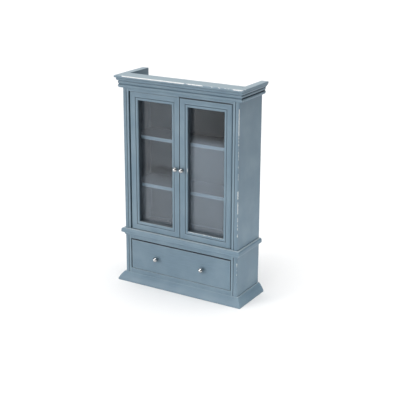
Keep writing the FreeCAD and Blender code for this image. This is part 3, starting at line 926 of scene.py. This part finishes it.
def paint(name, grain, tone=1.0, crevices=0.9):
    """Satin paint brushed along the grain, rubbed down to pale primer where an edge is worn.

    Painted shade darkens crevices, gaps, groove roots and the inside of the cupboard, and a
    painted sheen pales what faces upwards.  tone is how light the paint is, and crevices how much
    of the colour the painted shade in them hides."""
    n = Nodes(name, "painted_wood")
    dark, mid, light, thin = (tuple(c * tone for c in colour)
                              for colour in (PAINT_DARK, PAINT, PAINT_LIGHT, THIN_PAINT))
    squeeze = [1.0, 1.0, 1.0]
    squeeze[grain] = ALONG_GRAIN
    grained = n.stretched(tuple(squeeze))
    strokes = n.noise(grained, STROKES, 4.0, 0.6)
    pores = n.noise(grained, PORES, 2.0, 0.5)
    clouds = n.noise(n.place, CLOUDS, 3.0, 0.5)
    speckle = n.noise(n.place, SPECKLE, 2.0, 0.6)
    colour = n.mix(n.ramp(strokes, 0.30, 0.70), dark, mid)
    colour = n.mix(n.ramp(clouds, 0.35, 0.75), colour, light)

    # Painted sheen: paint that faces upwards is paled.
    up = n.add("ShaderNodeSeparateXYZ", Vector=n.add("ShaderNodeNewGeometry").outputs["Normal"])
    sheen = n.ramp(up.outputs["Z"], 0.75, 0.98, 0.0, MOST_SHEEN)
    sheen = n.maths("MULTIPLY", sheen, n.ramp(speckle, 0.2, 0.7, 0.75, 1.0))
    colour = n.mix(sheen, colour, SHEEN_PAINT)

    edge = n.attribute("edge")
    thinned = n.maths("MULTIPLY", n.maths("MAXIMUM", edge, 0.0), MOST_THINNING)
    colour = n.mix(thinned, colour, thin)
    flaking = n.noise(n.place, FLAKES, 4.0, 0.7)
    rubbed = n.maths("ADD", n.attribute("worn"), n.ramp(flaking, 0.3, 0.7, 0.0, 0.4))
    bare = n.ramp(rubbed, 0.85, 0.97)
    colour = n.mix(bare, colour, PRIMER)

    colour = n.mix(n.maths("MULTIPLY", n.attribute("inside"), MOST_SHADE), colour, UNLIT)
    # Painted shade: darker where ambient occlusion finds a surface close by, and where edge is
    # below 0.
    shut_in = n.add("ShaderNodeAmbientOcclusion", {"samples": 8}, Distance=CREVICE).outputs["AO"]
    crevice = n.ramp(shut_in, 0.05, 0.60, crevices, 0.0)
    root = n.ramp(edge, -0.9, 0.0, MOST_ROOT_SHADE, 0.0)
    colour = n.mix(n.maths("MAXIMUM", crevice, root), colour, PAINTED_SHADE)

    height = n.maths("ADD", strokes, n.maths("MULTIPLY", pores, 0.35))
    height = n.maths("SUBTRACT", height, n.maths("MULTIPLY", bare, 0.6))
    shader = n.add("ShaderNodeBsdfPrincipled", Base_Color=colour,
                   Roughness=n.ramp(strokes, 0.2, 0.8, 0.42, 0.60),
                   Normal=n.bump(height, 0.35, PAINT_RELIEF))
    return n.shown(shader.outputs["BSDF"])


def clear_pane():
    """A thin clear sheet: gloss over a faint veil, part hazed sheet and part painted reflection,
    its amount given by the mesh.
    """
    n = Nodes("pane_clear", "clear_pane")
    smears = n.noise(n.stretched((1.0, 1.0, 0.45)), SMEARS, 4.0, 0.6)
    reflection_haze = n.maths("MULTIPLY", n.attribute("reflection_haze"), n.ramp(smears, 0.2, 0.8, 0.85, 1.15))
    fresnel = n.add("ShaderNodeFresnel", IOR=1.45).outputs["Fac"]
    clear = n.add("ShaderNodeBsdfTransparent", Color=(0.95, 0.96, 0.97, 1.0)).outputs[0]
    reflection_haze_shader = n.add("ShaderNodeBsdfDiffuse", Color=REFLECTION_HAZE_COLOUR, Roughness=0.5).outputs[0]
    gloss = n.add("ShaderNodeBsdfGlossy", Color=(0.9, 0.9, 0.9, 1.0),
                  Roughness=n.ramp(smears, 0.2, 0.8, 0.03, 0.10)).outputs[0]
    reflection_hazed = n.mixed(reflection_haze, clear, reflection_haze_shader)
    return n.shown(n.mixed(n.maths("MULTIPLY", fresnel, PANE_GLOSS), reflection_hazed, gloss))


def metal(name, slot, colour, smoothest, roughest):
    """Polished metal with fine tarnish and scratches."""
    n = Nodes(name, slot)
    tarnish = n.noise(n.place, TARNISH, 4.0, 0.6)
    scratches = n.noise(n.stretched((1.0, 1.0, 0.1)), SCRATCHES, 2.0, 0.6)
    dull = tuple(c * 0.72 for c in colour)
    shader = n.add("ShaderNodeBsdfPrincipled",
                   Base_Color=n.mix(n.ramp(tarnish, 0.45, 0.75), colour, dull), Metallic=1.0,
                   Roughness=n.ramp(tarnish, 0.3, 0.8, smoothest, roughest),
                   Normal=n.bump(scratches, 0.08, METAL_RELIEF))
    return n.shown(shader.outputs["BSDF"])


# ---------------------------------------------------------------- the stage

VIEW_AZIMUTH, VIEW_ELEVATION = 31.4, 17.41
VIEW_DISTANCE = 0.6658
VIEW_LENS = 86.61
VIEW_SHIFT = (0.0253, -0.0374)
FLOOR_HALF, FLOOR_RIM = 14.0, 0.02


def floor():
    """A pale sheet with a turned-down rim, its top at the height of the cupboard's foot."""
    bm = bmesh.new()
    half, rim = FLOOR_HALF, FLOOR_RIM
    rows = [[bm.verts.new((x, y, z)) for x, y in
             ((-h, -h), (h, -h), (h, h), (-h, h))]
            for h, z in ((half, -2 * rim), (half, -rim), (half - rim, 0.0))]
    for low, high in zip(rows, rows[1:]):
        for k in range(4):
            bm.faces.new((low[k], low[(k + 1) % 4], high[(k + 1) % 4], high[k]))
    bm.faces.new(rows[-1])
    mesh = bpy.data.meshes.new("studio_floor")
    bm.to_mesh(mesh)
    bm.free()
    sheet = bpy.data.objects.new("studio_floor", mesh)
    bpy.context.scene.collection.objects.link(sheet)
    n = Nodes("studio_white", "none")
    grain = n.noise(n.place, FLOOR_GRAIN, 3.0, 0.5)
    shader = n.add("ShaderNodeBsdfPrincipled",
                   Base_Color=n.mix(grain, (0.90, 0.90, 0.90), (0.92, 0.92, 0.92)),
                   Roughness=0.9)
    shader.inputs["Specular IOR Level"].default_value = 0.1
    mesh.materials.append(n.shown(shader.outputs["BSDF"]))


def softbox(name, place, target, size, power):
    """A rectangular lamp that neither the camera nor a reflection sees."""
    data = bpy.data.lights.new(name, "AREA")
    data.shape = "RECTANGLE"
    data.size, data.size_y = size
    data.energy = power
    lamp = bpy.data.objects.new(name, data)
    lamp.location = place
    lamp.rotation_euler = (Vector(target) - Vector(place)).to_track_quat("-Z", "Y").to_euler()
    lamp.visible_camera = lamp.visible_glossy = False
    bpy.context.scene.collection.objects.link(lamp)


def sky(name, azimuth, elevation, spread, strength):
    """Soft light from a wide patch of sky, even over the whole floor."""
    data = bpy.data.lights.new(name, "SUN")
    data.angle = math.radians(spread)
    data.energy = math.pi * strength
    lamp = bpy.data.objects.new(name, data)
    lamp.rotation_euler = (-towards(azimuth, elevation)).to_track_quat("-Z", "Y").to_euler()
    bpy.context.scene.collection.objects.link(lamp)


def towards(azimuth, elevation):
    """The direction to a place at an azimuth, from the front to the right, and an elevation."""
    a, e = math.radians(azimuth), math.radians(elevation)
    return Vector((math.sin(a) * math.cos(e), -math.cos(a) * math.cos(e), math.sin(e)))


def camera():
    """The viewpoint: to the right of the front and a little above."""
    target = Vector((0.0, 0.0, (CAD_LOW.z + CAD_HIGH.z) / 2))
    back = towards(VIEW_AZIMUTH, VIEW_ELEVATION)
    data = bpy.data.cameras.new("camera")
    data.lens = VIEW_LENS
    data.sensor_width = 36.0
    data.shift_x, data.shift_y = VIEW_SHIFT
    data.clip_start, data.clip_end = 0.01, 60.0
    view = bpy.data.objects.new("camera", data)
    view.location = target + back * VIEW_DISTANCE
    view.rotation_euler = (-back).to_track_quat("-Z", "Y").to_euler()
    bpy.context.scene.collection.objects.link(view)
    bpy.context.scene.camera = view


def studio():
    """Strong soft light from above, a low key from the left, and a little fill at the right."""
    world = bpy.data.worlds.new("studio")
    world.use_nodes = True
    background = world.node_tree.nodes["Background"]
    background.inputs["Color"].default_value = (1.0, 1.0, 1.0, 1.0)
    background.inputs["Strength"].default_value = 0.03
    bpy.context.scene.world = world
    sky("overhead", azimuth=0, elevation=90, spread=60, strength=1.03)
    sky("key", azimuth=-40, elevation=15, spread=30, strength=0.50)
    sky("front", azimuth=0, elevation=30, spread=30, strength=0.12)
    softbox("low_right", place=(0.14, 0.0, 0.008), target=(0.0455, 0.0, 0.015),
            size=(0.25, 0.02), power=0.065)
    bpy.context.scene.view_settings.view_transform = "Standard"


# ---------------------------------------------------------------- put it together

wood = {axis: paint(f"paint_along_{'xyz'[axis]}", axis) for axis in (X, Y, Z)}
# Painted light: the shelves' paint is much lighter, and takes little painted shade in crevices.
shelf = {X: paint("shelf_painted_light", X, tone=1.70, crevices=0.2)}
# Painted shade: the cornice's paint is a little darker.
cornice_wood = {axis: paint(f"cornice_paint_along_{'xyz'[axis]}", axis, tone=0.96)
                for axis in (X, Y)}
glass = clear_pane()
chrome = metal("knob_metal", "bright_metal", (0.52, 0.53, 0.53), smoothest=0.16, roughest=0.32)
steel = metal("pin_wire", "pin_steel", (0.55, 0.55, 0.56), smoothest=0.25, roughest=0.42)

case(wood, shelf)
hinge_pins(steel)
moulding("cornice", cornice, cornice_wood)
moulding("waist_moulding", waist, wood)
moulding("plinth", plinth, wood)
for side, sign in SIDES:
    door(side, sign, wood, glass, chrome)
drawer(wood, chrome)

floor()
studio()
camera()
